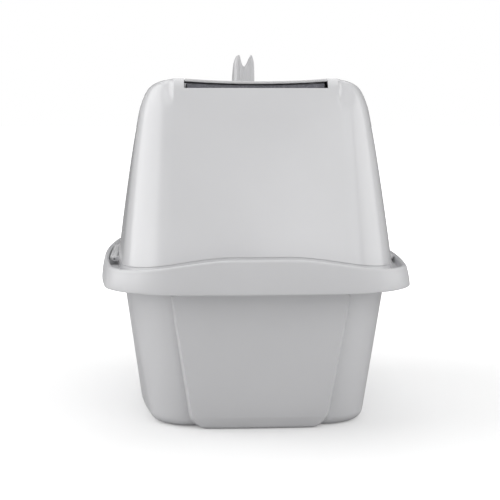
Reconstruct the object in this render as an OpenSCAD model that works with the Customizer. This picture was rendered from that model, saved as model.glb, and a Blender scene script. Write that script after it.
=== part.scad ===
// Hooded cat litter box: a deep pan with a wide rim, and a lift-off hood with a swing door,
// a filter bay in the roof, a carry handle, two rim latches and a forked bag anchor.
// Origin: centre of the underside. +Z up, entrance towards +Y, millimetres.

/* [Pan] */
// Overall width across the rim
rim_w = 390; // [380:5:400]
// Overall length across the rim
rim_l = 560; // [550:5:570]
// Height of the skirt's lower edge above the floor
skirt_z = 170; // [165:1:172]
// Height of the lip along the sides
lip_z = 195.5; // [194:0.5:197]
// How far the lip rises in the middle of each end
wave_rise = 14.5; // [8:0.5:16]
// Wall thickness of the pan and the hood
wall = 3; // [2.5:0.25:3.5]

/* [Hood] */
// Height of the roof
roof_z = 421; // [419:1:424]
// Half width of the filter bay in the roof
bay_half = 88; // [87:1:92]
// Height of the back wall's edge under the filter slot
slot_z = 409; // [408:0.5:410]

/* [Entrance] */
// Half width of the entrance opening
door_half = 106; // [100:1:108]
// Height of the entrance sill
sill_z = 226; // [224:1:230]
// Height of the door's hinge line
door_hinge_z = 350; // [346:1:352]
// Radius of the door's hinge pins
door_pin_r = 3; // [2.5:0.25:3.5]

/* [Fittings] */
// Length of each side latch
latch_len = 168; // [120:4:168]
// Half distance between the carry handle's pivots
handle_half = 66; // [60:1:70]
// Height of the bag anchor's horns
horn_z = 462; // [455:1:465]

/* [Hidden] */

white = [0.86, 0.86, 0.87];
smoke = [0.35, 0.36, 0.38, 0.6];
steel = [0.7, 0.7, 0.72];
charcoal = [0.13, 0.13, 0.15];

foot_gap = 0.5;       // gap between the hood's foot and the rim's gutter
pin_gap = 0.05;       // radial clearance of a pin in its bore
a_rim = rim_w / 2;
b_rim = rim_l / 2;

// ---------- shared curves ----------

function clamp01(t) = min(1, max(0, t));
function smooth(t) = let(s = clamp01(t)) s * s * (3 - 2 * s);
function mix(p, q, t) = p + (q - p) * t;

// Lip height over the ends: level at the corners, a soft hump in the middle
function lip_at(x) = lip_z + wave_rise * (1 - smooth((abs(x) - 30) / 140));
gutter_drop = 9.5;

// Stations across an end: corner start c, panel crease at h with a step of width s
function end_x(c, h, s) =
    [-c, -(h + s), -h, -0.66 * h, -0.33 * h, 0, 0.33 * h, 0.66 * h, h, h + s, c];
corner_n = 6;
side_n = 8;

// One end of a ring, run from -x to +x: half width a, end at y = -b, corner from c with depth r,
// panel of half width h standing p proud with a step s, y grows inwards
function end_curve(a, b, c, r, h, p, s) = concat(
    [for (i = [0 : corner_n - 1]) let(t = 90 * i / corner_n)
        [-c - (a - c) * cos(t), -b + r - r * sin(t)]],
    [for (x = end_x(c, h, s)) [x, -b - (abs(x) <= h + 0.01 ? p : 0)]],
    [for (i = [1 : corner_n]) let(t = 90 * i / corner_n)
        [c + (a - c) * sin(t), -b + r - r * cos(t)]]);

function side_curve(a, y0, y1) =
    [for (i = [1 : side_n - 1]) [a, mix(y0, y1, i / side_n)]];

// Bows the sides and ends of a ring: bx and by are how far the corners pull in
function bowed(ring, a, b, bx, by, yc) =
    [for (q = ring) let(u = (q.y - yc) / b, v = q.x / a)
        [q.x * (1 - bx / a * u * u), yc + (q.y - yc) * (1 - by / b * v * v)]];

// A closed ring seen from above, counterclockwise, back end first.
// k = [a, b_back, b_front, c, r, bx, by, h, p_back, p_front, s]
function ring(k) = let(
        a = k[0], bb = k[1], bf = k[2], c = k[3], r = k[4],
        back = end_curve(a, bb, c, r, k[7], k[8], k[10]),
        front = [for (q = end_curve(a, bf, c, r, k[7], k[9], k[10])) [-q.x, -q.y]],
        yc = (bf - bb) / 2, b = (bf + bb) / 2)
    bowed(concat(back, side_curve(a, -bb + r, bf - r), front,
        [for (q = side_curve(a, -bb + r, bf - r)) [-q.x, -q.y + 2 * yc]]), a, b, k[5], k[6], yc);

function lift(ring, z) = [for (q = ring) [q.x, q.y, z]];
function lift_lip(ring, dz) = [for (q = ring) [q.x, q.y, lip_at(q.x) + dz]];

// Solid through a list of rings, closed at both ends by a fan to a centre point
module loft(rings) {
    n = len(rings[0]);
    m = len(rings);
    first = rings[0][0].z;
    last = rings[m - 1][0].z;
    points = concat([for (r = rings) each r], [[0, 0, first], [0, 0, last]]);
    faces = concat(
        [for (i = [0 : m - 2], j = [0 : n - 1]) let(k = (j + 1) % n, u = i + 1)
            each [[i * n + j, u * n + j, u * n + k], [i * n + j, u * n + k, i * n + k]]],
        [for (j = [0 : n - 1]) [m * n, j, (j + 1) % n]],
        [for (j = [0 : n - 1]) [m * n + 1, (m - 1) * n + (j + 1) % n, (m - 1) * n + j]]);
    polyhedron(points, faces);
}

// ---------- pan ----------

base_z = 26;
neck_z = 164;
foot_r = 12;
panel_foot_r = 4;
panel_toe = 3.2;      // how far the panel leans in below its lowest crease
function tub_a(z) = mix(147.8, 167, (z - base_z) / (neck_z - base_z));
function tub_b(z) = mix(214, 245, (z - base_z) / (neck_z - base_z));
tub_bow = 22;
// Half width of the raised panel, before the tub's sides are bowed
function panel_half(z, a) = let(half = z > 15 ? mix(82, 104, (z - 15) / 149) : mix(66, 82, pow(z / 15, 0.6)))
    half / (1 - tub_bow / a);
// Width of the slope at the panel's edge: it widens towards the floor
function panel_step(z) = 3 + 6 * (1 - clamp01(z / 15));
function tub_corner_r(z) = mix(28, 80, sqrt(z / neck_z));
function panel_out(z) = mix(13, 4, clamp01((z - base_z) / (neck_z - base_z)));
function foot_cut(z, r) = z >= r ? 0 : r - sqrt(max(0, r * r - (r - z) * (r - z)));

// Tub ring at height z, shrunk by t for the inner face
function tub_ring(z, t) = let(
        zf = z - t, cut = foot_cut(zf, foot_r),
        a = tub_a(z) - t - cut, b = tub_b(z) - t - cut,
        toe = panel_toe * (1 - clamp01(zf / 15)),
        p = panel_out(z) + cut - foot_cut(zf, panel_foot_r) - toe, h = panel_half(zf, tub_a(z)) - t,
        s = panel_step(zf))
    ring([a, b, b, max(h + s + 1, 98 - t), tub_corner_r(z), tub_bow, 5, h, p, p, s]);

// Rim ring at distance d inside the rim's outline
rim_depth = 27;
function rim_ring(d) = let(t = d / rim_depth)
    ring([a_rim - d, b_rim - d, b_rim - d, mix(112, 108, t), mix(83, 76, t), mix(19, tub_bow, t),
        mix(10, 6, t), 92, 0, 0, 4]);

foot_levels = [0, 0.9, 2.2, 4, 7.4, 12, 15];
wall_levels = [40, 70, 100, 130, neck_z];
flange = 3;

module litter_pan() {
    outside = [for (z = concat(foot_levels, wall_levels)) lift(tub_ring(z, 0), z)];
    under = [lift_lip(rim_ring(24.5), -gutter_drop - flange), lift_lip(rim_ring(9), -gutter_drop - flange),
        lift_lip(rim_ring(6.6), -gutter_drop - flange - 2)];
    skirt = [lift(rim_ring(3), skirt_z), lift(rim_ring(0.6), skirt_z + 0.4), lift(rim_ring(0), skirt_z + 2)];
    lip = [for (q = [[3.4, -3], [4.2, -0.9], [6, 0], [7.8, -0.9], [8.6, -3]]) lift_lip(rim_ring(q[0]), q[1])];
    gutter = [for (q = [[9.6, 0], [25.5, 0], [26.7, -0.8], [27.2, -3]])
        lift_lip(rim_ring(q[0]), q[1] - gutter_drop)];
    inside = [for (i = [len(wall_levels) - 1 : -1 : 0]) lift(tub_ring(wall_levels[i], wall), wall_levels[i])];
    inner_foot = [for (i = [len(foot_levels) - 1 : -1 : 0]) let(z = foot_levels[i] + wall)
        lift(tub_ring(z, wall), z)];
    color(white) loft(concat(outside, under, skirt, lip, gutter, inside, inner_foot));
}

// ---------- hood ----------

// Half width of the hood at height z, then its back and front ends
hood_levels = [236, 297, 337, 357, 383, 398, 408, 413, 418, roof_z];
function hood_a(z) = lookup(z, [[196, 173.5], [236, 168.5], [297, 160], [337, 153.8], [357, 150.2],
    [383, 145], [398, 139.4], [408, 133.5], [413, 128], [418, 117], [roof_z, 102]]);
function hood_back(z) = z < 400 ? mix(262, 163, (z - 196) / 204)
    : lookup(z, [[400, 163], [408, 158.6], [413, 155.5], [418, 150.5], [roof_z, 143]]);
function hood_front(z) = z < 370 ? mix(262, 257, (z - 196) / 174)
    : lookup(z, [[370, 257], [383, 252], [398, 242], [408, 231], [413, 223], [418, 210], [roof_z, 188]]);
function hood_c(z) = lookup(z, [[196, 104], [400, 104], [418, 100], [roof_z, 96]]);
function hood_r(z) = lookup(z, [[196, 74], [383, 52], [408, 38], [418, 24], [roof_z, 12]]);

// The shoulders beside the end wall step back from its upper corners by this much
function facet(z) = 5.5 * smooth((z - 386) / 30);

function hood_ring(z, t) = let(
        k = [hood_a(z) - t, hood_back(z) - t, hood_front(z) - t, hood_c(z), hood_r(z) - t,
            18 * clamp01((430 - z) / 234), 8 * clamp01((430 - z) / 234), 92, 0, 0, 4])
    [for (q = ring(k)) let(out = smooth((abs(q.x) + t - 101) / 7), near_end = 1 - smooth((q.y + k[1]) / 70))
        [q.x, q.y + facet(z) * out * near_end]];

module hood_dome() {
    foot = hood_ring(lip_z, 0);
    foot_in = hood_ring(lip_z, wall);
    outer = concat([lift_lip(foot, foot_gap - gutter_drop)],
        [for (z = hood_levels) lift(hood_ring(z, 0), z)]);
    inner = concat([for (i = [len(hood_levels) - 1 : -1 : 0]) let(z = hood_levels[i])
        lift(hood_ring(z, wall), z - wall)], [lift_lip(foot_in, foot_gap - gutter_drop)]);
    shell(outer, inner);
}

// Open-bottomed shell: outer rings go up to the roof, inner rings come down again
module shell(outer, inner) {
    n = len(outer[0]);
    top = len(outer);
    rings = concat(outer, inner);
    m = len(rings);
    points = concat([for (r = rings) each r],
        [[0, 20, outer[top - 1][0].z], [0, 20, inner[0][0].z]]);
    faces = concat(
        [for (i = [0 : m - 1], j = [0 : n - 1]) let(k = (j + 1) % n, u = (i + 1) % m)
            if (i != top - 1) each [[i * n + j, u * n + j, u * n + k], [i * n + j, u * n + k, i * n + k]]],
        [for (j = [0 : n - 1]) [m * n, (top - 1) * n + (j + 1) % n, (top - 1) * n + j]],
        [for (j = [0 : n - 1]) [m * n + 1, top * n + j, top * n + (j + 1) % n]]);
    polyhedron(points, faces);
}

// Rounded rectangle outline: half width w from z0 to z1, corner radii rb below and rt above
function rounded(w, z0, z1, rb, rt, n = 8) = concat(
    [for (i = [0 : n]) let(t = 180 + 90 * i / n) [-w + rb + rb * cos(t), z0 + rb + rb * sin(t)]],
    [for (i = [0 : n]) let(t = 270 + 90 * i / n) [w - rb + rb * cos(t), z0 + rb + rb * sin(t)]],
    [for (i = [0 : n]) let(t = 90 * i / n) [w - rt + rt * cos(t), z1 - rt + rt * sin(t)]],
    [for (i = [0 : n]) let(t = 90 + 90 * i / n) [-w + rt + rt * cos(t), z1 - rt + rt * sin(t)]]);

// Stands an XY outline up in the XZ plane, running from y0 to y1
module upright(y0, y1) {
    translate([0, y1, 0]) rotate([90, 0, 0]) linear_extrude(y1 - y0) children();
}

frame_wall = 6;
frame_top = door_hinge_z + 14;
function entrance(grow) =
    rounded(door_half + grow, sill_z - 3 - grow, frame_top + grow, 30 + grow, 10 + grow);

bay_back = -170;
bay_front = 96;
screw_r = 1.9;
anchor_screw_y = [142, 168];

// The latch hinge lies in the rim's gutter, close beside the hood's wall
latch_x = 177;
latch_z = 193.5;
latch_barrel_r = 2.6;
latch_pin_r = 1.2;
knuckle = 6;

module along_x(x0, x1, r, y, z, fn = 48) {
    translate([x0, y, z]) rotate([0, 90, 0]) cylinder(h = x1 - x0, r = r, $fn = fn);
}

module along_y(y0, y1, r, x, z, fn = 48) {
    translate([x, y1, z]) rotate([90, 0, 0]) cylinder(h = y1 - y0, r = r, $fn = fn);
}

// Box between two corners
module block(p, q) {
    translate(p) cube(q - p);
}

module hood_shell() {
    end = latch_len / 2 + 0.4;
    color(white) difference() {
        union() {
            hood_dome();
            for (s = [-1, 1], y = [-end - knuckle, end])
                block([min(s * 170, s * 179.8), y, 190.9], [max(s * 170, s * 179.8), y + knuckle, 196.3]);
        }
        block([-bay_half, bay_back, slot_z], [bay_half, bay_front, 430]);
        upright(200, 290) polygon(entrance(frame_wall + 0.2));
        for (s = [-1, 1]) along_y(-end - 8, end + 8, latch_pin_r + 0.02, s * latch_x, latch_z);
        for (y = anchor_screw_y) translate([0, y, 410]) cylinder(h = 20, r = screw_r + 0.3, $fn = 32);
    }
}

// ---------- roof insert: filter bed at the back, handle well at the front ----------

insert_half = bay_half - 0.5;
insert_back = -151;
insert_front = bay_front - 0.5;
insert_floor = 402;
divider_y = -34;
grille_half = [84, 46];
grille_y = -91;
cover_hinge = [-28, 415.6];
cover_pin_r = 1.5;
cover_brackets = [[-78, -66], [-8, 8], [66, 78]];
handle_y = 4;
handle_z = 412.2;
handle_pin_r = 2.5;
bracket_in = handle_half + 6;

module roof_insert() {
    color(white) difference() {
        union() {
            difference() {
                block([-insert_half, insert_back, insert_floor], [insert_half, insert_front, roof_z - 2.5]);
                block([-insert_half + 2, insert_back - 1, 404], [insert_half - 2, divider_y - 2, 430]);
                block([-insert_half + 2, divider_y, 404], [insert_half - 2, insert_front - 2, 430]);
                block([-insert_half - 1, insert_back - 1, 408.4], [insert_half + 1, divider_y + 2, 430]);
            }
            block([-insert_half, insert_back, insert_floor], [insert_half, insert_back + 2, 408.4]);
            for (b = cover_brackets) {
                block([b[0], divider_y - 1, 404], [b[1], cover_hinge[0] + 3.5, 410.5]);
                block([b[0], cover_hinge[0] - 3.5, 410], [b[1], cover_hinge[0] + 3.5, 418]);
            }
            for (s = [-1, 1]) block([min(s * bracket_in, s * (bracket_in + 8)), handle_y - 6, 404],
                [max(s * bracket_in, s * (bracket_in + 8)), handle_y + 6, 417.8]);
        }
        block([-grille_half.x + 4, grille_y - grille_half.y + 4, 400],
            [grille_half.x - 4, grille_y + grille_half.y - 4, 405]);
        along_x(-80, 80, cover_pin_r + 0.02, cover_hinge[0], cover_hinge[1]);
        along_x(-88, 88, handle_pin_r + pin_gap, handle_y, handle_z);
    }
}

module filter_grille() {
    slots = 9;
    rows = 3;
    pitch = (2 * grille_half.x - 10) / slots;
    row_pitch = (2 * grille_half.y - 8) / rows;
    color(white) difference() {
        block([-grille_half.x, grille_y - grille_half.y, 404.05],
            [grille_half.x, grille_y + grille_half.y, 406]);
        for (i = [0 : slots - 1], j = [0 : rows - 1])
            translate([-grille_half.x + 7 + i * pitch, grille_y - grille_half.y + 6 + j * row_pitch, 403])
                cube([pitch - 4, row_pitch - 4, 5]);
    }
}

module carbon_filter() {
    color(charcoal) block([-85, -148.5, 406.05], [85, -42, 412.6]);
}

// Dished cover plate: low along the middle, meeting the roof at its sides
cover_t = 3.4;
cover_back = -152;
function dish(x) = 417.4 + 3.3 * pow(x / bay_half, 2);
module filter_cover() {
    w = bay_half - 0.6;
    xs = [for (i = [0 : 16]) -w + 2 * w * i / 16];
    top = [for (x = xs) [x, dish(x)]];
    under = [for (i = [16 : -1 : 0]) [xs[i], dish(xs[i]) - cover_t]];
    color(white) difference() {
        union() {
            upright(cover_back, cover_hinge[0] - 5) polygon(concat(top, under));
            for (s = [-1, 1]) block([min(s * 62, s * 42), cover_hinge[0] - 8, 414.4],
                [max(s * 62, s * 42), cover_hinge[0], 417.4]);
            for (s = [-1, 1])
                along_x(min(s * 62, s * 42), max(s * 62, s * 42), 3.2, cover_hinge[0], cover_hinge[1]);
        }
        along_x(-80, 80, cover_pin_r + pin_gap, cover_hinge[0], cover_hinge[1]);
    }
}

module filter_cover_pin() {
    color(steel) along_x(-77, 77, cover_pin_r, cover_hinge[0], cover_hinge[1]);
}

// ---------- carry handle ----------

grip_y = 76;
grip_r = 5.4;
module carry_handle() {
    color(white) difference() {
        union() {
            along_x(-handle_half, handle_half, grip_r, grip_y, handle_z);
            for (s = [-1, 1]) {
                block([min(s * (handle_half - 5), s * (handle_half + 5)), handle_y, handle_z - 4],
                    [max(s * (handle_half - 5), s * (handle_half + 5)), grip_y, handle_z + 4]);
                along_x(s * handle_half - 5, s * handle_half + 5, 6, handle_y, handle_z);
                along_x(s * handle_half - 5, s * handle_half + 5, grip_r, grip_y, handle_z);
            }
        }
        along_x(-90, 90, handle_pin_r + 0.02, handle_y, handle_z);
    }
}

module handle_pins() {
    x0 = handle_half - 4;
    x1 = bracket_in + 7;
    color(steel) for (s = [-1, 1])
        along_x(min(s * x0, s * x1), max(s * x0, s * x1), handle_pin_r, handle_y, handle_z);
}

// ---------- bag anchor ----------

anchor_back = 130;
anchor_front = 204;
module bag_anchor() {
    z0 = roof_z + 0.2;
    half = [[0, 444.5], [3, 446.5], [6.5, 453], [9, horn_z], [10.8, horn_z], [13.2, 457], [15.2, 449],
        [15.2, 400]];
    face = concat(half, [for (i = [len(half) - 1 : -1 : 1]) [-half[i].x, half[i].y]]);
    side = [[anchor_back, z0], [190, z0], [anchor_front, 419.4], [anchor_front + 4, 421],
        [anchor_front - 2, 432], [180, 446], [148, 458.5],
        [anchor_back + 2, horn_z], [anchor_back, horn_z - 2]];
    color(white) difference() {
        intersection() {
            upright(anchor_back - 5, anchor_front + 10) polygon(face);
            translate([-20, 0, 0]) rotate([90, 0, 90]) linear_extrude(40) polygon(side);
        }
        for (y = anchor_screw_y) translate([0, y, 410]) cylinder(h = 24, r = screw_r + 0.02, $fn = 32);
    }
}

module anchor_screws() {
    color(steel) for (y = anchor_screw_y) translate([0, y, 0]) {
        translate([0, 0, 416]) cylinder(h = 16, r = screw_r, $fn = 32);
        translate([0, 0, 415.4]) cylinder(h = 2.4, r = 4, $fn = 32);
    }
}

// ---------- entrance ----------

frame_back = 224;
frame_front = 262;
door_y = 243;
flap_half = door_half - 2.6;

module entrance_frame() {
    color(white) difference() {
        union() {
            upright(frame_back, frame_front) polygon(entrance(frame_wall));
            upright(frame_front, frame_front + 3) polygon(entrance(frame_wall + 8));
        }
        upright(frame_back - 1, frame_front + 4) polygon(entrance(0));
        along_x(-door_half - 5, door_half + 5, door_pin_r + pin_gap, door_y, door_hinge_z);
        for (s = [-1, 1], z = frame_screw_z) translate([s * (door_half + 3), frame_back - 1, z])
            rotate([-90, 0, 0]) cylinder(h = 15, r = 1.22, $fn = 32);
    }
}

frame_screw_z = [sill_z + 36, door_hinge_z - 30];
module frame_screws() {
    color(steel) for (s = [-1, 1], z = frame_screw_z) translate([s * (door_half + 3), frame_back - 1.6, z])
        rotate([-90, 0, 0]) {
            cylinder(h = 13, r = 1.2, $fn = 32);
            cylinder(h = 1.5, r = 2.8, $fn = 32);
        }
}

module door_flap() {
    z0 = sill_z + 2.5;
    z1 = door_hinge_z + 6;
    color(smoke) difference() {
        union() {
            upright(door_y - 1.3, door_y + 1.3) polygon(rounded(flap_half, z0, z1, 30, 8));
            difference() {
                upright(door_y - 2.6, door_y + 2.6) polygon(rounded(flap_half, z0, z1, 30, 8));
                upright(door_y - 5, door_y + 5) polygon(rounded(flap_half - 5, z0 + 5, z1 - 5, 26, 5));
            }
            for (s = [-1, 1]) along_x(min(s * 84, s * flap_half), max(s * 84, s * flap_half), 5.4,
                door_y, door_hinge_z);
        }
        along_x(-flap_half - 1, -flap_half + 16, door_pin_r + 0.02, door_y, door_hinge_z);
        along_x(flap_half - 16, flap_half + 1, door_pin_r + 0.02, door_y, door_hinge_z);
    }
}

module door_pins() {
    x0 = flap_half - 15;
    x1 = door_half + 4.5;
    color(steel) for (s = [-1, 1])
        along_x(min(s * x0, s * x1), max(s * x0, s * x1), door_pin_r, door_y, door_hinge_z);
}

// ---------- side latches ----------

module latch(s) {
    half = latch_len / 2;
    ribs = 14;
    outer = 182.8;
    color(white) difference() {
        union() {
            block([min(s * latch_x, s * outer), -half, 192.1], [max(s * latch_x, s * outer), half, 195.2]);
            along_y(-half, half, latch_barrel_r, s * latch_x, latch_z);
            for (i = [0 : ribs - 1]) let(y = -half + 5 + i * (latch_len - 10) / (ribs - 1))
                block([min(s * 180, s * (outer - 1)), y - 1.2, 195],
                    [max(s * 180, s * (outer - 1)), y + 1.2, 196.2]);
        }
        along_y(-half - 1, half + 1, latch_pin_r + pin_gap, s * latch_x, latch_z);
    }
}

module latch_left() { latch(-1); }
module latch_right() { latch(1); }

module latch_pin(s) {
    half = latch_len / 2 + 0.4 + knuckle;
    color(steel) along_y(-half, half, latch_pin_r, s * latch_x, latch_z);
}

module latch_pin_left() { latch_pin(-1); }
module latch_pin_right() { latch_pin(1); }

litter_pan();
hood_shell();
roof_insert();
carbon_filter();
filter_grille();
filter_cover();
filter_cover_pin();
carry_handle();
handle_pins();
bag_anchor();
anchor_screws();
entrance_frame();
frame_screws();
door_flap();
door_pins();
latch_left();
latch_right();
latch_pin_left();
latch_pin_right();
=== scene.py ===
import math

import bmesh
import bpy
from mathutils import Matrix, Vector


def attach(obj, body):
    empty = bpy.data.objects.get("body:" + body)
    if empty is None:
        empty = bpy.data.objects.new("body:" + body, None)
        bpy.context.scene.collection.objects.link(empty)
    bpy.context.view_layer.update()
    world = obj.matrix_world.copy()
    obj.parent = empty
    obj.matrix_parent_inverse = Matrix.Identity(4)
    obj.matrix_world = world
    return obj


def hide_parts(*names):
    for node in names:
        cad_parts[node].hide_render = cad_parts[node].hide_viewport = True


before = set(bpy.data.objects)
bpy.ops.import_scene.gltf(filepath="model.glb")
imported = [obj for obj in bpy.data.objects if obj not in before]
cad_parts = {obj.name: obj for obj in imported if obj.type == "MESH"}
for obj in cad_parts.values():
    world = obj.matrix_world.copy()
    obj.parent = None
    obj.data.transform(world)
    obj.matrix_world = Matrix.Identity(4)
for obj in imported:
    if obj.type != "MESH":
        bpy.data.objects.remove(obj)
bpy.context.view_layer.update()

MM = 0.001


# ---------------------------------------------------------------- small maths

def clamp01(t):
    return min(1.0, max(0.0, t))


def smooth(t):
    s = clamp01(t)
    return s * s * (3 - 2 * s)


def ease_out(t):
    """Starts with a crease and ends level."""
    s = clamp01(t)
    return s * (2 - s)


def mix(p, q, t):
    return p + (q - p) * t


def spread(p, q, n):
    """n + 1 values from p to q."""
    return [mix(p, q, i / n) for i in range(n + 1)]


def curve(*table):
    """A smooth function through (z, value) pairs that never overshoots them."""
    zs = [t[0] for t in table]
    vs = [t[1] for t in table]
    step = [(vs[i + 1] - vs[i]) / (zs[i + 1] - zs[i]) for i in range(len(zs) - 1)]
    slope = [step[0]]
    for p, q in zip(step, step[1:]):
        slope.append(0.0 if p * q <= 0 else 2 * p * q / (p + q))
    slope.append(step[-1])

    def at(z):
        if z <= zs[0]:
            return vs[0] + (z - zs[0]) * slope[0]
        if z >= zs[-1]:
            return vs[-1]
        i = max(k for k in range(len(zs) - 1) if zs[k] <= z)
        w = zs[i + 1] - zs[i]
        t = (z - zs[i]) / w
        return (vs[i] * (1 + 2 * t) * (1 - t) ** 2 + vs[i + 1] * t * t * (3 - 2 * t)
                + w * slope[i] * t * (1 - t) ** 2 + w * slope[i + 1] * t * t * (t - 1))
    return at


# ---------------------------------------------------------------- rings: plan outlines, millimetres

CORNER_N = 18
SIDE_N = 20
FLAT_N = 24
STEP_N = 5
EDGE_N = 3


def stations(c, h, s):
    """Points across an end, (x, share of the panel's height): plain edge, step, panel, step, edge."""
    left = [(x, 0.0) for x in spread(-c, -(h + s), EDGE_N)]
    left += [(x, smooth((x + h + s) / s)) for x in spread(-(h + s), -h, STEP_N)[1:]]
    flat = [(x, 1.0) for x in spread(-h, h, FLAT_N)[1:-1]]
    return left + flat + [(-x, w) for x, w in reversed(left)]


def end_curve(a, b, c, r, h, p, s):
    """One end of a ring: half width a, depth b, flat to c, corner depth r, panel p proud."""
    arc = [math.radians(90 * i / CORNER_N) for i in range(CORNER_N + 1)]
    left = [(-c - (a - c) * math.cos(t), -b + r - r * math.sin(t)) for t in arc[:-1]]
    right = [(c + (a - c) * math.sin(t), -b + r - r * math.cos(t)) for t in arc[1:]]
    return left + [(x, -b - p * w) for x, w in stations(c, h, s)] + right


def ring(a, back, front, c, r, bow_x, bow_y, h, p_back, p_front, s):
    """A closed plan outline, counterclockwise from above, back end first; its sides and ends are bowed."""
    side = [(a, mix(-back + r, front - r, i / SIDE_N)) for i in range(1, SIDE_N)]
    far = [(-x, -y) for x, y in end_curve(a, front, c, r, h, p_front, s)]
    yc, b = (front - back) / 2, (front + back) / 2
    points = end_curve(a, back, c, r, h, p_back, s) + side + far
    points += [(-x, -y + 2 * yc) for x, y in side]
    out = []
    for x, y in points:
        u, v = (y - yc) / b, x / a
        out.append((x * (1 - bow_x / a * u * u), yc + (y - yc) * (1 - bow_y / b * v * v)))
    return out


RING_N = len(ring(100, 100, 100, 50, 20, 0, 0, 30, 0, 0, 3))
PANEL_FIRST = CORNER_N + EDGE_N + STEP_N
PANEL_LAST = PANEL_FIRST + FLAT_N


def lift(points, z):
    return [(x, y, z) for x, y in points]


LIP_Z, WAVE = 195.5, 14.5    # rim height at the sides, and how far it swells at the middle of each end
GUTTER_DROP = 9.5            # the hood's seat below the lip
ROOF_Z, SLOT_Z = 421, 409    # roof, and the sill of the slot under it
BAY, EAR = 88, 101           # half widths: the roof's bay, and where the shoulders step back


def lip_at(x):
    return LIP_Z + WAVE * (1 - smooth((abs(x) - 30) / 140))


def lift_lip(points, dz):
    return [(x, y, lip_at(x) + dz) for x, y in points]


# ---------------------------------------------------------------- meshes

def make(name, points, faces, scale=MM):
    """A mesh object from points in millimetres."""
    mesh = bpy.data.meshes.new(name)
    mesh.from_pydata([tuple(scale * v for v in p) for p in points], [], faces)
    obj = bpy.data.objects.new(name, mesh)
    bpy.context.scene.collection.objects.link(obj)
    return obj


def weld(obj, gap=0.00001):
    bm = bmesh.new()
    bm.from_mesh(obj.data)
    bmesh.ops.remove_doubles(bm, verts=bm.verts, dist=gap)
    bmesh.ops.dissolve_degenerate(bm, edges=bm.edges, dist=gap / 4)
    bmesh.ops.recalc_face_normals(bm, faces=bm.faces)
    bm.to_mesh(obj.data)
    bm.free()
    return obj


def settle(obj, angle=33):
    """Smooth shading with real creases kept sharp."""
    obj.data.polygons.foreach_set("use_smooth", [True] * len(obj.data.polygons))
    obj.data.set_sharp_from_angle(angle=math.radians(angle))
    obj.data.update()
    return obj


def apply_modifiers(obj):
    deps = bpy.context.evaluated_depsgraph_get()
    mesh = bpy.data.meshes.new_from_object(obj.evaluated_get(deps))
    old = obj.data
    obj.modifiers.clear()
    obj.data = mesh
    mesh.name = old.name
    return obj


def add_modifier(obj, kind, **values):
    m = obj.modifiers.new(kind.lower(), kind)
    for key, value in values.items():
        setattr(m, key, value)
    return m


def bevel(obj, width, segments=2, angle=40):
    add_modifier(obj, "BEVEL", width=width * MM, segments=segments, limit_method="ANGLE",
                 angle_limit=math.radians(angle), use_clamp_overlap=True)
    return apply_modifiers(obj)


def combine(obj, others, operation):
    """Adds, cuts or intersects obj with the other objects, which are used up."""
    for other in others:
        add_modifier(obj, "BOOLEAN", operation=operation, object=other, solver="EXACT")
        apply_modifiers(obj)
        bpy.data.objects.remove(other)
    return obj


def joined(name, objs):
    """One object from several, each kept as its own closed shell."""
    bm = bmesh.new()
    for o in objs:
        bm.from_mesh(o.data)
        bpy.data.objects.remove(o)
    mesh = bpy.data.meshes.new(name)
    bm.to_mesh(mesh)
    bm.free()
    obj = bpy.data.objects.new(name, mesh)
    bpy.context.scene.collection.objects.link(obj)
    return obj


def remesh(obj, voxel, rounds):
    add_modifier(obj, "REMESH", mode="VOXEL", voxel_size=voxel * MM)
    add_modifier(obj, "SMOOTH", factor=0.5, iterations=rounds)
    return apply_modifiers(obj)


def fan(points, faces, first, centre, rounds, flip):
    """Closes the ring that starts at index first with rounds that shrink to centre."""
    n = RING_N
    start = [points[first + j] for j in range(n)]
    before = first
    for i in range(1, rounds):
        at = len(points)
        points += [tuple(mix(p[k], centre[k], i / rounds) for k in range(3)) for p in start]
        for j in range(n):
            k = (j + 1) % n
            quad = [before + j, before + k, at + k, at + j]
            faces.append(quad[::-1] if flip else quad)
        before = at
    points.append(centre)
    for j in range(n):
        tri = [before + j, before + (j + 1) % n, len(points) - 1]
        faces.append(tri[::-1] if flip else tri)


def loft(name, rings):
    """A closed solid through plan rings, the first and last filled in."""
    n = RING_N
    points = [p for r in rings for p in r]
    faces = []
    for i in range(len(rings) - 1):
        for j in range(n):
            k = (j + 1) % n
            faces.append([i * n + j, i * n + k, (i + 1) * n + k, (i + 1) * n + j])
    fan(points, faces, 0, (0, 0, rings[0][0][2]), 5, True)
    fan(points, faces, (len(rings) - 1) * n, (0, 0, rings[-1][0][2]), 5, False)
    return weld(make(name, points, faces))


def loop_solid(name, loops, closed):
    """A solid through equal loops of points: a ring when closed, else with its two ends filled."""
    n, m = len(loops[0]), len(loops)
    points = [p for loop in loops for p in loop]
    faces = []
    for i in range(m if closed else m - 1):
        for j in range(n):
            k, u = (j + 1) % n, (i + 1) % m
            faces.append([i * n + j, i * n + k, u * n + k, u * n + j])
    if not closed:
        faces += [list(range(n))[::-1], [(m - 1) * n + j for j in range(n)]]
    return weld(make(name, points, faces))


def cylinder(name, axis, p, q, r, along, sides=40):
    """A cylinder from p to q along one axis, at the point `along` on the other two."""
    loops = []
    for v in (p, q):
        loop = []
        for i in range(sides):
            t = 2 * math.pi * i / sides
            at = [along[0] + r * math.cos(t), along[1] + r * math.sin(t)]
            at.insert(axis, v)
            loop.append(tuple(at))
        loops.append(loop)
    return loop_solid(name, loops, False)


def block(name, p, q):
    loops = [[(p[0], p[1], z), (q[0], p[1], z), (q[0], q[1], z), (p[0], q[1], z)] for z in (p[2], q[2])]
    return loop_solid(name, loops, False)


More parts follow.
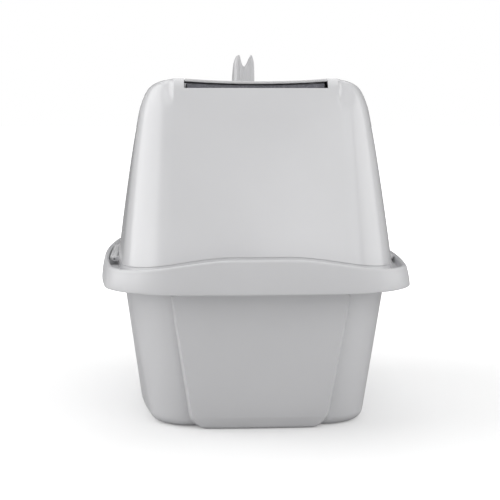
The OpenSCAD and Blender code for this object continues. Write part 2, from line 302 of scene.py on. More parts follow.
def rounded(w, z0, z1, rb, rt, n=12, flat=10):
    """Outline of a rounded rectangle in x and z, counterclockwise seen from the back end."""
    corners = [(-w + rb, z0 + rb, rb, 180), (w - rb, z0 + rb, rb, 270),
               (w - rt, z1 - rt, rt, 0), (-w + rt, z1 - rt, rt, 90)]
    arcs = [[(x + r * math.cos(math.radians(a + 90 * i / n)), z + r * math.sin(math.radians(a + 90 * i / n)))
             for i in range(n + 1)] for x, z, r, a in corners]
    out = []
    for i, arc in enumerate(arcs):
        p, q = arc[-1], arcs[(i + 1) % 4][0]
        out += arc + [(mix(p[0], q[0], k / flat), mix(p[1], q[1], k / flat)) for k in range(1, flat)]
    return out


# ---------------------------------------------------------------- materials

def material(name, colour, roughness, coat=0.0, vary=0.02, fine=900.0, bump=0.02, metal=0.0, alpha=1.0,
             ior=1.5, edge_highlight=0.05):
    """Moulded plastic or metal: slow colour and gloss variation, fine surface grain, and a painted highlight that tints
    sharp convex edges lighter.
    """
    mat = bpy.data.materials.new(name)
    mat.use_nodes = True
    tree = mat.node_tree
    nodes, links = tree.nodes, tree.links
    shader = nodes["Principled BSDF"]
    shader.inputs["Metallic"].default_value = metal
    shader.inputs["IOR"].default_value = ior
    shader.inputs["Coat Weight"].default_value = coat
    shader.inputs["Coat Roughness"].default_value = 0.08
    shader.inputs["Alpha"].default_value = alpha
    where = nodes.new("ShaderNodeTexCoord")

    def noise(scale, detail):
        n = nodes.new("ShaderNodeTexNoise")
        n.inputs["Scale"].default_value = scale
        n.inputs["Detail"].default_value = detail
        links.new(where.outputs["Object"], n.inputs["Vector"])
        return n.outputs["Fac"]

    def ramp(source, low, high):
        r = nodes.new("ShaderNodeMapRange")
        r.inputs["From Min"].default_value, r.inputs["From Max"].default_value = 0.3, 0.7
        r.inputs["To Min"].default_value, r.inputs["To Max"].default_value = low, high
        links.new(source, r.inputs["Value"])
        return r.outputs["Result"]

    tint = nodes.new("ShaderNodeMix")
    tint.data_type = "RGBA"
    tint.inputs["A"].default_value = (*[v * (1 - vary) for v in colour], 1)
    tint.inputs["B"].default_value = (*[min(1, v * (1 + vary)) for v in colour], 1)
    links.new(ramp(noise(7, 4), 0, 1), tint.inputs["Factor"])
    # Painted highlight: where pointiness marks a sharp convex edge, the colour is mixed towards a lighter tone.
    geometry = nodes.new("ShaderNodeNewGeometry")
    edge = nodes.new("ShaderNodeMix")
    edge.data_type = "RGBA"
    edge.inputs["B"].default_value = (*[min(1, v * 1.08 + 0.02) for v in colour], 1)
    links.new(tint.outputs["Result"], edge.inputs["A"])
    edge_highlight_mask = nodes.new("ShaderNodeMapRange")
    edge_highlight_mask.inputs["From Min"].default_value, edge_highlight_mask.inputs["From Max"].default_value = 0.52, 0.62
    edge_highlight_mask.inputs["To Max"].default_value = edge_highlight
    links.new(geometry.outputs["Pointiness"], edge_highlight_mask.inputs["Value"])
    links.new(edge_highlight_mask.outputs["Result"], edge.inputs["Factor"])
    links.new(edge.outputs["Result"], shader.inputs["Base Color"])
    links.new(ramp(noise(45, 5), roughness * 0.95, roughness * 1.06), shader.inputs["Roughness"])
    grain = nodes.new("ShaderNodeBump")
    grain.inputs["Strength"].default_value = bump
    grain.inputs["Distance"].default_value = 0.0004
    links.new(noise(fine, 3), grain.inputs["Height"])
    links.new(grain.outputs["Normal"], shader.inputs["Normal"])
    return mat


hood_plastic = material("hood_gloss", (0.66, 0.66, 0.672), 0.22, coat=0.25, bump=0.012)
pan_plastic = material("pan_satin", (0.62, 0.62, 0.632), 0.34, bump=0.03)
fitting_plastic = material("fitting_satin", (0.64, 0.64, 0.648), 0.30, bump=0.012)
door_plastic = material("door_smoke", (0.16, 0.165, 0.18), 0.12, coat=0.3, alpha=0.62, bump=0.01)
steel = material("pin_steel", (0.62, 0.62, 0.64), 0.28, metal=1.0, vary=0.05, fine=2500, bump=0.05)


def felt(name, colour):
    """Black carbon pad: matted fibres over an open-pored foam."""
    mat = bpy.data.materials.new(name)
    mat.use_nodes = True
    nodes, links = mat.node_tree.nodes, mat.node_tree.links
    shader = nodes["Principled BSDF"]
    shader.inputs["Sheen Weight"].default_value = 0.25
    shader.inputs["Sheen Roughness"].default_value = 0.5
    where = nodes.new("ShaderNodeTexCoord")
    pores = nodes.new("ShaderNodeTexVoronoi")
    pores.inputs["Scale"].default_value = 620
    fibres = nodes.new("ShaderNodeTexNoise")
    fibres.inputs["Scale"].default_value = 900
    fibres.inputs["Detail"].default_value = 6
    for n in (pores, fibres):
        links.new(where.outputs["Object"], n.inputs["Vector"])
    both = nodes.new("ShaderNodeMath")
    both.operation = "MULTIPLY"
    links.new(pores.outputs["Distance"], both.inputs[0])
    links.new(fibres.outputs["Fac"], both.inputs[1])
    tint = nodes.new("ShaderNodeMix")
    tint.data_type = "RGBA"
    tint.inputs["A"].default_value = (*[v * 0.45 for v in colour], 1)
    tint.inputs["B"].default_value = (*[min(1, v * 1.6) for v in colour], 1)
    links.new(both.outputs[0], tint.inputs["Factor"])
    links.new(tint.outputs["Result"], shader.inputs["Base Color"])
    rough = nodes.new("ShaderNodeMapRange")
    rough.inputs["To Min"].default_value, rough.inputs["To Max"].default_value = 0.82, 0.98
    links.new(fibres.outputs["Fac"], rough.inputs["Value"])
    links.new(rough.outputs["Result"], shader.inputs["Roughness"])
    nap = nodes.new("ShaderNodeBump")
    nap.inputs["Strength"].default_value = 0.7
    nap.inputs["Distance"].default_value = 0.0007
    links.new(both.outputs[0], nap.inputs["Height"])
    links.new(nap.outputs["Normal"], shader.inputs["Normal"])
    return mat


filter_felt = felt("filter_felt", (0.29, 0.29, 0.325))


def dress(obj, mat, body=None, nodes=()):
    obj.data.materials.clear()
    obj.data.materials.append(mat)
    if body:
        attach(obj, body)
    if nodes:
        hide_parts(*nodes)
    return obj


# ---------------------------------------------------------------- camera, floor and light

camera = bpy.data.objects.new("camera", bpy.data.cameras.new("camera"))
bpy.context.scene.collection.objects.link(camera)
bpy.context.scene.camera = camera
camera.data.sensor_width = 36
camera.data.lens = 99.3
camera.data.clip_start, camera.data.clip_end = 0.05, 100
camera.location = (-0.1093, -1.847, 0.377)
camera.rotation_euler = (math.radians(90) - 0.0980, 0, -0.0600)

GLOW_NEAR, GLOW_FAR = 0.24, 0.9      # extra light from the paper near the object and far from it
FADE_START, FADE_END = 0.35, 1.6     # metres from the object between which it grows
floor = make("floor", [(-40, -40, 0), (40, -40, 0), (40, 40, 0), (-40, 40, 0)], [[0, 1, 2, 3]], 1.0)
floor.location.z = -0.0002
paper = bpy.data.materials.new("paper")
paper.use_nodes = True
paper_nodes, paper_links = paper.node_tree.nodes, paper.node_tree.links
paper_shader = paper_nodes["Principled BSDF"]
paper_shader.inputs["Base Color"].default_value = (0.75, 0.75, 0.75, 1)
paper_shader.inputs["Roughness"].default_value = 0.9
glow = paper_nodes.new("ShaderNodeEmission")
place = paper_nodes.new("ShaderNodeTexCoord")
away = paper_nodes.new("ShaderNodeVectorMath")
away.operation = "LENGTH"
paper_links.new(place.outputs["Object"], away.inputs[0])
fade = paper_nodes.new("ShaderNodeMapRange")
fade.interpolation_type = "SMOOTHSTEP"
fade.inputs["From Min"].default_value, fade.inputs["From Max"].default_value = FADE_START, FADE_END
fade.inputs["To Min"].default_value, fade.inputs["To Max"].default_value = GLOW_NEAR, GLOW_FAR
paper_links.new(away.outputs["Value"], fade.inputs["Value"])
paper_links.new(fade.outputs["Result"], glow.inputs["Strength"])
lit = paper_nodes.new("ShaderNodeAddShader")
paper_links.new(paper_shader.outputs["BSDF"], lit.inputs[0])
paper_links.new(glow.outputs["Emission"], lit.inputs[1])
seen = paper_nodes.new("ShaderNodeLightPath")
either = paper_nodes.new("ShaderNodeMixShader")
paper_links.new(seen.outputs["Is Camera Ray"], either.inputs["Fac"])
paper_links.new(paper_shader.outputs["BSDF"], either.inputs[1])
paper_links.new(lit.outputs["Shader"], either.inputs[2])
shade = paper_nodes.new("ShaderNodeBsdfDiffuse")
shade.inputs["Color"].default_value = (0.12, 0.12, 0.12, 1)
mirrored = paper_nodes.new("ShaderNodeMixShader")
paper_links.new(seen.outputs["Is Glossy Ray"], mirrored.inputs["Fac"])
paper_links.new(either.outputs["Shader"], mirrored.inputs[1])
paper_links.new(shade.outputs["BSDF"], mirrored.inputs[2])
paper_links.new(mirrored.outputs["Shader"], paper_nodes["Material Output"].inputs["Surface"])
floor.data.materials.append(paper)


def softbox(name, place, target, width, height, radiance):
    """A rectangular area light of the given radiance, aimed at target."""
    light = bpy.data.lights.new(name, "AREA")
    light.shape = "RECTANGLE"
    light.size, light.size_y = width, height
    light.energy = radiance * math.pi * width * height
    light.spread = math.radians(180)
    obj = bpy.data.objects.new(name, light)
    bpy.context.scene.collection.objects.link(obj)
    obj.location = place
    obj.rotation_euler = (Vector(target) - Vector(place)).to_track_quat("-Z", "Y").to_euler()
    return obj


softbox("soft_left", (-2.05, 0.2, 1.3), (0, 0, 0.25), 2.6, 2.4, 1.62)
softbox("soft_low", (-2.2, -1.0, 0.7), (0, 0, 0.15), 1.6, 1.0, 0.9)
softbox("soft_right", (1.3, -1.9, 1.6), (0, 0, 0.25), 2.2, 2.0, 1.35)
softbox("soft_side", (2.3, 0.1, 1.0), (0, 0, 0.2), 1.8, 1.8, 1.2)
softbox("soft_top", (0, 0.3, 2.8), (0, 0, 0), 3.0, 3.0, 0.9)
softbox("soft_back", (0.3, 2.2, 2.2), (0, 0, 0.25), 2.4, 1.6, 0.9)

AMBIENT, GLOSS_FRONT, GLOSS_BEHIND = 0.45, 0.42, 0.06
world = bpy.data.worlds.new("studio")
bpy.context.scene.world = world
world.use_nodes = True
world_nodes, world_links = world.node_tree.nodes, world.node_tree.links
backdrop = world_nodes["Background"]
backdrop.inputs["Color"].default_value = (1, 1, 1, 1)
backdrop.inputs["Strength"].default_value = 1.0
ambient = world_nodes.new("ShaderNodeBackground")
ambient.inputs["Color"].default_value = (1, 1, 1, 1)
ambient.inputs["Strength"].default_value = AMBIENT
path = world_nodes.new("ShaderNodeLightPath")
choose = world_nodes.new("ShaderNodeMixShader")
direction = world_nodes.new("ShaderNodeTexCoord")
split = world_nodes.new("ShaderNodeSeparateXYZ")
world_links.new(direction.outputs["Generated"], split.inputs["Vector"])
behind = world_nodes.new("ShaderNodeMapRange")
behind.interpolation_type = "SMOOTHSTEP"
behind.inputs["From Min"].default_value, behind.inputs["From Max"].default_value = 0.3, 0.8
behind.inputs["To Min"].default_value, behind.inputs["To Max"].default_value = GLOSS_FRONT, GLOSS_BEHIND
world_links.new(split.outputs["Y"], behind.inputs["Value"])
dim = world_nodes.new("ShaderNodeBackground")
world_links.new(behind.outputs["Result"], dim.inputs["Strength"])
gloss = world_nodes.new("ShaderNodeMixShader")
world_links.new(path.outputs["Is Glossy Ray"], gloss.inputs["Fac"])
world_links.new(ambient.outputs["Background"], gloss.inputs[1])
world_links.new(dim.outputs["Background"], gloss.inputs[2])
world_links.new(path.outputs["Is Camera Ray"], choose.inputs["Fac"])
world_links.new(gloss.outputs["Shader"], choose.inputs[1])
world_links.new(backdrop.outputs["Background"], choose.inputs[2])
world_links.new(choose.outputs["Shader"], world_nodes["World Output"].inputs["Surface"])
bpy.context.scene.view_settings.view_transform = "Standard"


# ---------------------------------------------------------------- pan

RIM_A, RIM_B, RIM_DEPTH = 195, 280, 27
WALL = 3
BASE_Z, NECK_Z, STRIP_Z = 26, 164, 15    # where the taper starts and ends, and the top of the foot strip
FOOT_R, PANEL_FOOT_R = 12, 4
TUB_BOW = 22
SKIRT_Z, SKIRT_R = 170, 1.6
FLANGE_DROP = GUTTER_DROP + 3
LIP_R, LIP_TALL = 2.8, 3.4


def foot_cut(z, r):
    """How far a rounding of radius r draws the foot in at height z."""
    return 0.0 if z >= r else r - math.sqrt(max(0.0, r * r - (r - z) ** 2))


def tub_ring(z, t):
    """The tub's outline at height z, drawn in by t."""
    rise = (z - BASE_Z) / (NECK_Z - BASE_Z)
    zf = z - t
    cut = foot_cut(zf, FOOT_R)
    if zf > STRIP_Z:
        half = mix(82, 104, (zf - STRIP_Z) / (NECK_Z - STRIP_Z))
    else:
        half = mix(66, 82, max(0, zf / STRIP_Z) ** 0.6)
    low = 1 - clamp01(zf / STRIP_Z)
    out = mix(13, 4, clamp01(rise)) + cut - foot_cut(zf, PANEL_FOOT_R) - 3.2 * low
    a, b = mix(147.8, 167, rise), mix(214, 245, rise) - t - cut
    h, step = half / (1 - TUB_BOW / a) - t, 3 + 6 * low
    return ring(a - t - cut, b, b, max(h + step + 1, 98 - t), mix(28, 80, math.sqrt(z / NECK_Z)),
                TUB_BOW, 5, h, out, out, step)


def rim_ring(d):
    """The rim's outline at distance d inside its edge."""
    t = d / RIM_DEPTH
    return ring(RIM_A - d, RIM_B - d, RIM_B - d, mix(112, 108, t), mix(83, 76, t), mix(19, TUB_BOW, t),
                mix(10, 6, t), 92, 0, 0, 4)


foot_levels = [FOOT_R * (1 - math.cos(math.radians(90 * i / 10))) for i in range(10)]
wall_levels = [12, 13.5, 15, 16.5, 20, 26] + spread(35, NECK_Z, 14)
levels = foot_levels + wall_levels
rings = [lift(tub_ring(z, 0), z) for z in levels]
rings += [lift_lip(rim_ring(26.6), -FLANGE_DROP - 3)]
rings += [lift_lip(rim_ring(d), -FLANGE_DROP - dz)
          for d, dz in ((25.6, 0.9), (24, 0), (16, 0), (9.4, 0), (7.6, 0.5), (6.8, 2))]
skirt_in = rim_ring(3.2)
for t in (0.35, 0.7):
    low, high = lift(skirt_in, SKIRT_Z), lift_lip(rim_ring(6.8), -FLANGE_DROP - 2)
    rings.append([tuple(mix(p[k], q[k], t) for k in range(3)) for p, q in zip(high, low)])
for i in range(9):
    t = math.radians(180 * i / 8)
    rings.append(lift(rim_ring(SKIRT_R + SKIRT_R * math.cos(t)), SKIRT_Z + SKIRT_R - SKIRT_R * math.sin(t)))
bottom, top = lift(rim_ring(0), SKIRT_Z + SKIRT_R), lift_lip(rim_ring(3.2), -LIP_TALL)
for i in range(1, 6):
    t = i / 6
    belly = 0.5 * math.sin(math.pi * t)
    row = []
    for p, q, o in zip(bottom, top, lift(rim_ring(mix(0, 3.2, t) - belly), 0)):
        row.append((o[0], o[1], mix(p[2], q[2], t)))
    rings.append(row)
for i in range(13):
    t = math.radians(180 * i / 12)
    rings.append(lift_lip(rim_ring(6 - LIP_R * math.cos(t)), -LIP_TALL + LIP_TALL * math.sin(t)))
gutter = ((8.95, 4.5), (9.1, 2.2), (9.5, 0.8), (10.4, 0.1), (14, 0), (20, 0), (25.2, 0), (26.5, -0.5),
          (27.1, -2.5))
rings += [lift_lip(rim_ring(d), -GUTTER_DROP + up) for d, up in gutter]
rings += [lift(tub_ring(z, WALL), z) for z in reversed(wall_levels[6:])]
rings += [lift(tub_ring(z + WALL, WALL), z + WALL) for z in reversed(foot_levels + [12, 15, 20])]
pan = settle(loft("pan_shell", rings))
dress(pan, pan_plastic, "pan", ["litter_pan"])


# ---------------------------------------------------------------- hood

hood_a = curve((196, 173.5), (236, 168.5), (297, 160), (337, 153.8), (357, 150.2), (383, 145), (398, 139.4),
               (408, 133.5), (413, 128), (418, 117), (421, 102))
hood_back_top = curve((380, 171.8), (400, 163), (408, 158.6), (413, 155.5), (418, 150.5), (421, 143))
hood_front_top = curve((350, 257.6), (370, 257), (383, 252), (398, 242), (408, 231), (413, 223), (418, 210),
                       (421, 188))
hood_c = curve((196, 104), (400, 104), (418, 103), (421, 101.6))
hood_r = curve((196, 74), (383, 52), (408, 38), (418, 24), (421, 12))


def hood_back(z):
    return mix(262, 163, (z - 196) / 204) if z < 396 else hood_back_top(z)


def hood_front(z):
    return mix(262, 257, (z - 196) / 174) if z < 362 else hood_front_top(z)


def hood_bows(z):
    return 18 * clamp01((430 - z) / 234), 8 * clamp01((430 - z) / 234)


def hood_ring(z, t=0.0):
    """The hood's outline at height z, drawn in by t; its shoulders step back near the top."""
    a, bow = hood_a(z) - t, hood_bows(z)
    spare = 1 - bow[0] / a * 0.93
    h, ear = mix(BAY, BAY / spare, smooth((z - 372) / 30)), EAR / spare
    points = ring(a, hood_back(z) - t, hood_front(z) - t, max(hood_c(z), ear + 0.4), hood_r(z) - t,
                  bow[0], bow[1], h, 0, 0, min(ear, a - 1) - h)
    facet = 6.5 * smooth((z - 384) / 28)
    if facet:
        back = hood_back(z)
        points = [(x, y + facet * ease_out((abs(x) - EAR) / 7.5) * (1 - smooth((y + back) / 70)))
                  for x, y in points]
    if z >= SLOT_Z - 0.01:
        for j, side in ((PANEL_FIRST, -1), (PANEL_LAST, 1)):
            points[j] = (side * BAY, points[j][1])
    return points


def hood_wall_y(x, z):
    """The front wall's outer face at x, z."""
    back, front = hood_back(z), hood_front(z)
    yc, b = (front - back) / 2, (front + back) / 2
    v = x / hood_a(z)
    return yc + (front - yc) * (1 - hood_bows(z)[1] / b * v * v)


LOW_Z, HIGH_Z = 190, 236


def low_row(t, up, rise):
    """A row of the hood below HIGH_Z: up above the lip when rise is 0, level at HIGH_Z when rise is 1."""
    row = []
    for p, q in zip(hood_ring(LOW_Z, t), hood_ring(HIGH_Z, t)):
        z = mix(lip_at(p[0]) + up, HIGH_Z, rise)
        share = (z - LOW_Z) / (HIGH_Z - LOW_Z)
        row.append((mix(p[0], q[0], share), mix(p[1], q[1], share), z))
    return row


rows = [low_row(t, up, 0) for t, up in
        ((1.1, 0.5 - GUTTER_DROP), (1.1, -4), (1.1, 0.4), (0.9, 1.0), (0.4, 1.3), (0.1, 1.6), (0, 2.1))]
rows += [low_row(0, 2.6, rise) for rise in spread(0, 1, 8)]
rows += [lift(hood_ring(z), z) for z in spread(HIGH_Z, 400, 24)[1:]]
top_levels = [402, 404, 406, 408, *range(SLOT_Z, 419), 418.9, 419.7, 420.4, ROOF_Z]
rows += [lift(hood_ring(z), z) for z in top_levels]
slot_row = next(i for i, r in enumerate(rows) if abs(r[0][2] - SLOT_Z) < 0.01 and i > 8)
# The roof runs in from the last row to the bay's edge, and a deck closes it past the bay
edge_y = rows[-1][PANEL_LAST][1]
bay_front, deck_front = 96, 176
side_ys = sorted(y for x, y, z in rows[-1] if x > 97 and y > 0)
seam_y = min(side_ys, key=lambda y: abs(y - bay_front))
targets = []
for x, y, z in rows[-1]:
    ty = bay_front if abs(y - seam_y) < 0.01 else min(deck_front, max(y, edge_y))
    over_end = y > deck_front and abs(x) < hood_c(ROOF_Z) + 0.01
    tx = max(-BAY, min(BAY, x)) if over_end else math.copysign(BAY, x)
    targets.append((tx, ty, z))
rows.append(targets)
points = [p for r in rows for p in r]
faces = []
for i in range(len(rows) - 1):
    for j in range(RING_N):
        if i >= slot_row and PANEL_FIRST <= j < PANEL_LAST:
            continue
        k = (j + 1) % RING_N
        faces.append([i * RING_N + j, i * RING_N + k, (i + 1) * RING_N + k, (i + 1) * RING_N + j])
deck_xs = sorted({round(x, 4) for x, y, z in targets if y == deck_front})
deck_ys = sorted({round(y, 4) for x, y, z in targets if y >= bay_front and x == BAY} | {deck_front})
first = len(points)
points += [(x, y, ROOF_Z) for y in deck_ys for x in deck_xs]
for i in range(len(deck_ys) - 1):
    for j in range(len(deck_xs) - 1):
        at = first + i * len(deck_xs) + j
        faces.append([at, at + 1, at + len(deck_xs) + 1, at + len(deck_xs)])
hood = make("hood_dome", points, faces)
bm = bmesh.new()
bm.from_mesh(hood.data)
bmesh.ops.remove_doubles(bm, verts=bm.verts, dist=0.00002)
bmesh.ops.delete(bm, geom=[v for v in bm.verts if not v.link_faces], context="VERTS")
bm.to_mesh(hood.data)
bm.free()
add_modifier(hood, "SOLIDIFY", thickness=WALL * MM, offset=-1, use_even_offset=False)
apply_modifiers(hood)
bevel(hood, 0.6, 3, 50)

DOOR_HALF, SILL_Z, DOOR_HINGE_Z = 106, 226, 350


def entrance(grow):
    """The doorway's outline, grown outwards."""
    return rounded(DOOR_HALF + grow, SILL_Z - 3 - grow, DOOR_HINGE_Z + 14 + grow, 30 + grow, 10 + grow)


cutter = loop_solid("cutter", [[(x, y, z) for x, z in entrance(6.3)] for y in (200, 290)], False)
combine(hood, [cutter], "DIFFERENCE")
settle(hood)
dress(hood, hood_plastic, "hood", ["hood_shell"])


# ---------------------------------------------------------------- latch knuckles on the hood, and the latches

LATCH_X, LATCH_Z, LATCH_HALF = 177, 193.5, 84


def knuckle(name, side, y):
    """A hinge lug that grows out of the hood's foot and wraps the latch pin."""
    outline = [(168.5, 190.9), (179, 190.9)]
    outline += [(LATCH_X + 3 * math.cos(t), LATCH_Z + 2.8 * math.sin(t))
                for t in [math.radians(-40 + 130 * i / 9) for i in range(10)]]
    outline += [(172, 197.4), (168.5, 199)]
    piece = loop_solid(name, [[(side * x, v, z) for x, z in outline] for v in (y, y + 6)], False)
    return bevel(piece, 0.5, 2, 35)


def latch(name, side):
    """A ribbed bar on a full-length barrel, with a finger lip along its outer edge."""
    profile = [(174.6, 193.5)]
    profile += [(LATCH_X + 2.6 * math.cos(t), LATCH_Z + 2.6 * math.sin(t))
                for t in [math.radians(170 - 120 * i / 9) for i in range(10)]]
    profile += [(179.4, 195.2), (181.4, 195.2), (182.2, 195.9), (182.8, 195.8), (182.9, 195.0),
                (182.9, 192.6), (182.4, 192.1), (178.6, 192.1)]
    profile += [(LATCH_X + 2.6 * math.cos(t), LATCH_Z + 2.6 * math.sin(t))
                for t in [math.radians(-60 - 110 * i / 9) for i in range(10)]]
    bar = loop_solid(name, [[(side * x, y, z) for x, z in profile] for y in (-LATCH_HALF, LATCH_HALF)], False)
    ribs = []
    for i in range(28):
        y = -LATCH_HALF + 4 + i * (2 * LATCH_HALF - 8) / 27
        ribs.append(bevel(block("rib", (min(side * 179.7, side * 181.2), y - 1.0, 194.6),
                                (max(side * 179.7, side * 181.2), y + 1.0, 196.1)), 0.35, 2, 40))
    bevel(bar, 0.3, 2, 50)
    return combine(bar, [joined("ribs", ribs)], "UNION")


lugs = joined("latch_knuckles", [knuckle("lug", side, y) for side in (-1, 1)
                                 for y in (-LATCH_HALF - 6.4, LATCH_HALF + 0.4)])
dress(settle(lugs, 40), hood_plastic, "hood")
for side, word in ((-1, "left"), (1, "right")):
    bar = settle(latch("latch_bar_" + word, side), 40)
    dress(bar, fitting_plastic, "latch_" + word[0], ["latch_" + word])


# ---------------------------------------------------------------- filter cover and filter pad

COVER_HALF, COVER_BACK, COVER_FRONT, COVER_T = 87.4, -152, -33, 3.4
HINGE_Y, HINGE_Z = -28, 415.6


def dish(x):
    """Height of the cover's top, and of the roof edge under it."""
    return 417.4 + 3.3 * (x / BAY) ** 2


def plate(name, half, y0, y1, top, thick, round_r, nx, ny, under=None):
    """A curved plate as a clean grid, its edges rounded by round_r."""
    xs, ys = spread(-half, half, nx), spread(y0, y1, ny)
    points = [(x, y, top(x, y)) for y in ys for x in xs]
    points += [(x, y, under(x, y) if under else top(x, y) - thick) for y in ys for x in xs]
    row, low = nx + 1, (nx + 1) * (ny + 1)
    faces = []
    for i in range(ny):
        for j in range(nx):
            at = i * row + j
            quad = [at, at + 1, at + row + 1, at + row]
            faces += [quad, [low + k for k in reversed(quad)]]
    rim = list(range(nx)) + [nx + i * row for i in range(ny)]
    rim += [ny * row + j for j in range(nx, 0, -1)] + [i * row for i in range(ny, 0, -1)]
    for p, q in zip(rim, rim[1:] + rim[:1]):
        faces.append([p, low + p, low + q, q])
    return bevel(weld(make(name, points, faces)), round_r, 4, 50)


cover = plate("cover_plate", COVER_HALF, COVER_BACK, COVER_FRONT, lambda x, y: dish(x), COVER_T, 1.1, 40, 12)
PIN_BORE_R = 1.56
lugs = []
for side in (-1, 1):
    x0, x1 = sorted((side * 62, side * 42))
    arm = [(COVER_FRONT - 4, 414.6), (HINGE_Y - 1, 412.9)]
    arm += [(HINGE_Y + 3.2 * math.cos(t), HINGE_Z + 3.2 * math.sin(t))
            for t in [math.radians(-60 + 150 * i / 12) for i in range(13)]]
    arm += [(COVER_FRONT - 4, 418.0)]
    lugs.append(loop_solid("lug", [[(x, y, z) for y, z in arm] for x in (x0, x1)], False))
arms = bevel(joined("arms", lugs), 0.3, 2, 40)
combine(arms, [cylinder("bore", 0, -80, 80, PIN_BORE_R, (HINGE_Y, HINGE_Z), 32)], "DIFFERENCE")
cover = joined("cover_plate", [cover, arms])
dress(settle(cover, 35), fitting_plastic, "cover", ["filter_cover"])


PAD_BACK = -148.5


def pad_top(x):
    """Height of the pad's crown across its width."""
    return 413.2 + 2.6 * (x / 86) ** 2


def pad_crown(x, y):
    """The pad's top: it follows the cover's dish, and swells a little between its stitched rows."""
    quilt = math.cos(math.pi * x / 43) ** 2 * math.sin(math.pi * (y - PAD_BACK) / 35.5) ** 2
    return pad_top(x) - 0.5 + 0.5 * quilt


pad = plate("filter_pad", 85, PAD_BACK, -42, pad_crown, 0, 1.6, 86, 54, under=lambda x, y: 406.1)
dress(settle(pad, 70), filter_felt, "hood", ["carbon_filter"])


# ---------------------------------------------------------------- carry handle

HANDLE_HALF, HANDLE_Y, HANDLE_Z, GRIP_Y, BEND_R = 66, 4, 412.2, 76, 14
spine = [(-HANDLE_HALF, HANDLE_Y)]
spine += [(-HANDLE_HALF, y) for y in spread(HANDLE_Y, GRIP_Y - BEND_R, 14)[1:]]
spine += [(-HANDLE_HALF + BEND_R - BEND_R * math.cos(t), GRIP_Y - BEND_R + BEND_R * math.sin(t))
          for t in [math.radians(90 * i / 8) for i in range(1, 9)]]
spine += [(x, GRIP_Y) for x in spread(-HANDLE_HALF + BEND_R, 0, 12)[1:]]
spine = spine + [(-x, y) for x, y in reversed(spine[:-1])]
loops = []
for i, (x, y) in enumerate(spine):
    px, py = spine[max(0, i - 1)]
    qx, qy = spine[min(len(spine) - 1, i + 1)]
    tx, ty = qx - px, qy - py
    size = math.hypot(tx, ty)
    nx, ny = -ty / size, tx / size
    grip = smooth((y - 40) / 30)
    wide, tall = mix(5.0, 5.4, grip), mix(4.0, 5.2, grip)
    power = mix(0.5, 0.85, grip)
    loop = []
    for k in range(28):
        t = 2 * math.pi * k / 28
        cx = math.copysign(abs(math.cos(t)) ** power, math.cos(t)) * wide
        cz = math.copysign(abs(math.sin(t)) ** power, math.sin(t)) * tall
        loop.append((x + nx * cx, y + ny * cx, HANDLE_Z + cz))
    loops.append(loop)
bail = loop_solid("handle_bail", loops, False)
eyes = []
for side in (-1, 1):
    eye = cylinder("eye", 0, side * HANDLE_HALF - 5, side * HANDLE_HALF + 5, 6, (HANDLE_Y, HANDLE_Z), 48)
    eyes.append(bevel(eye, 0.6, 2, 40))
combine(bail, [joined("eyes", eyes)], "UNION")
rings_on_grip = []
for i in range(9):
    x = -24 + 6 * i
    band = cylinder("band", 0, x - 1.1, x + 1.1, 5.75, (GRIP_Y, HANDLE_Z), 40)
    rings_on_grip.append(bevel(band, 0.4, 2, 40))
combine(bail, [joined("bands", rings_on_grip)], "UNION")
combine(bail, [cylinder("bore", 0, -90, 90, 2.53, (HANDLE_Y, HANDLE_Z), 32)], "DIFFERENCE")
dress(settle(bail, 40), fitting_plastic, "handle", ["carry_handle"])


# ---------------------------------------------------------------- bag anchor

def anchor_half(z):
    """Half width of the fork's outline at height z."""
    return curve((421, 15.2), (440, 14.9), (449, 14.6), (456, 13.2), (460, 11.9), (462, 10.6))(z)


outline = [(15.2, 419.5)] + [(anchor_half(z), z) for z in spread(421, 461, 14)]
outline += [(10.4, 462), (9.2, 461.6), (8.4, 460), (7.6, 457.5), (6.6, 454), (5.2, 450.2), (3.4, 447.2),
            (1.6, 445.6)]
outline = outline + [(0, 445.1)] + [(-x, z) for x, z in reversed(outline)]
body = loop_solid("anchor", [[(x, y, z) for x, z in outline] for y in (126, 212)], False)
side_top = curve((131, 462), (148, 458.5), (165, 452.6), (180, 446), (192, 439), (202, 432), (208, 421))
profile = [(130.2, 420.9)] + [(130.2, z) for z in spread(424, 460, 8)] + [(130.9, 461.6)]
profile += [(y, side_top(y)) for y in spread(132, 207, 24)] + [(207.4, 420.5), (204, 418.9), (186, 420.9)]
cutter = loop_solid("cutter", [[(x, y, z) for y, z in profile] for x in (-20, 20)], False)
combine(body, [cutter], "INTERSECT")
remesh(body, 0.75, 6)
# Narrow the near face, mostly on its left, and press shallow flutes into it
for v in body.data.vertices:
    x, y, z = (c / MM for c in v.co)
    slim = smooth((141 - y) / 10)
    v.co.x = MM * (1.2 + x * ((0.94 - 0.22 * slim) if x < 0 else (1 - 0.04 * slim)))
    face = smooth((138 - y) / 7)
    flute = 0.5 + 0.5 * math.cos(x * 2 * math.pi / 9.5 + 0.9)
    edge = smooth((13 - abs(x)) / 3)
    v.co.y += MM * face * (1.1 * flute * edge + 0.25 * clamp01((z - 424) / 38))
dress(settle(body, 60), fitting_plastic, "hood", ["bag_anchor"])


# ---------------------------------------------------------------- entrance frame and door flap

def frame_loop(grow, depth):
    """The frame's outline at one place of its section: depth is a y, or a gap from the hood's wall."""
    out = []
    for x, z in entrance(grow):
        wall_y = min(hood_wall_y(x, z), 261.6)
        out.append((x, wall_y + depth[1] if depth[0] == "wall" else depth[1], z))
    return out


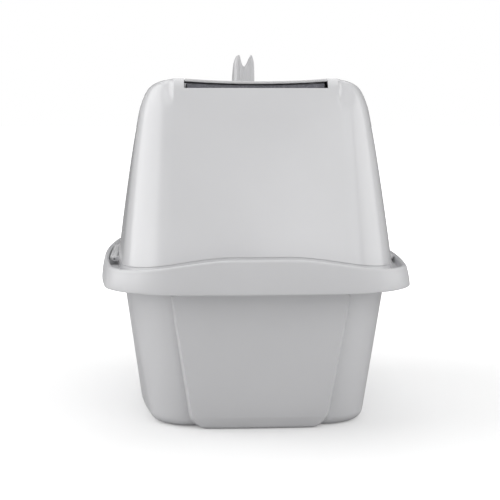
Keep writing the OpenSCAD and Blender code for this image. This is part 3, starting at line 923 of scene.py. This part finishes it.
section = [(0, ("at", 224.6)), (0, ("at", 230)), (0, ("at", 243)), (0, ("wall", -3)), (0, ("wall", 1.4)),
           (0.35, ("wall", 2.5)), (1.2, ("wall", 3.2)), (2.4, ("wall", 3.4)), (7, ("wall", 3.4)), (11.4, ("wall", 3.3)),
           (12.9, ("wall", 2.9)), (13.8, ("wall", 1.9)), (14, ("wall", 0.7)), (13.6, ("wall", 0.12)),
           (6.5, ("wall", 0.12)), (6, ("wall", -0.4)), (6, ("at", 243)), (6, ("at", 225)), (5.5, ("at", 224)),
           (0.6, ("at", 224))]
surround = loop_solid("entrance_surround", [frame_loop(g, d) for g, d in section], True)
dress(settle(surround, 40), fitting_plastic, "hood", ["entrance_frame"])

FLAP_HALF, DOOR_Y = 103.4, 243


def flap_loop(inset, y):
    """The flap's outline drawn in by inset, y from its middle plane."""
    outline = rounded(FLAP_HALF - inset, SILL_Z + 2.5 + inset, 356 - inset, max(4, 30 - inset),
                      max(3, 8 - inset * 0.6))
    return [(x, DOOR_Y + y, z) for x, z in outline]


half = [(0, 1.6), (0.25, 2.2), (0.9, 2.6), (3.6, 2.6), (4.6, 2.3), (5.4, 1.6), (6.4, 1.3), (14, 1.3), (15, 1.5),
        (16, 1.9), (17, 1.5), (18, 1.3), (30, 1.3), (44, 1.3)]
loops = [flap_loop(i, -y) for i, y in reversed(half)] + [flap_loop(0, 0)]
loops += [flap_loop(i, y) for i, y in half]
flap = loop_solid("door_panel", loops, False)
DOOR_AXIS = (DOOR_Y, DOOR_HINGE_Z)
barrels = [bevel(cylinder("barrel", 0, *sorted((side * 84, side * FLAP_HALF)), 5.4, DOOR_AXIS, 48), 0.5, 2, 40)
           for side in (-1, 1)]
combine(flap, [joined("barrels", barrels)], "UNION")
bores = [cylinder("bore", 0, *sorted((side * 87, side * 110)), 3.03, DOOR_AXIS, 40) for side in (-1, 1)]
combine(flap, [joined("bores", bores)], "DIFFERENCE")
dress(settle(flap, 40), door_plastic, "door", ["door_flap"])


# ---------------------------------------------------------------- CAD nodes that stay as they are

finishes = {"roof_insert": hood_plastic, "filter_grille": fitting_plastic, "filter_cover_pin": steel,
            "handle_pins": steel, "anchor_screws": steel, "frame_screws": steel, "door_pins": steel,
            "latch_pin_left": steel, "latch_pin_right": steel}
edges = {"roof_insert": 0.5, "filter_grille": 0.3}
for name, mat in finishes.items():
    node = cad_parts[name]
    node.data.materials.clear()
    node.data.materials.append(mat)
    node.data.polygons.foreach_set("use_smooth", [True] * len(node.data.polygons))
    add_modifier(node, "WELD", merge_threshold=0.000005)
    if name in edges:
        add_modifier(node, "DECIMATE", decimate_type="DISSOLVE", angle_limit=math.radians(2))
    add_modifier(node, "BEVEL", width=edges.get(name, 0.15) * MM, segments=2, limit_method="ANGLE",
                 angle_limit=math.radians(40), harden_normals=True)
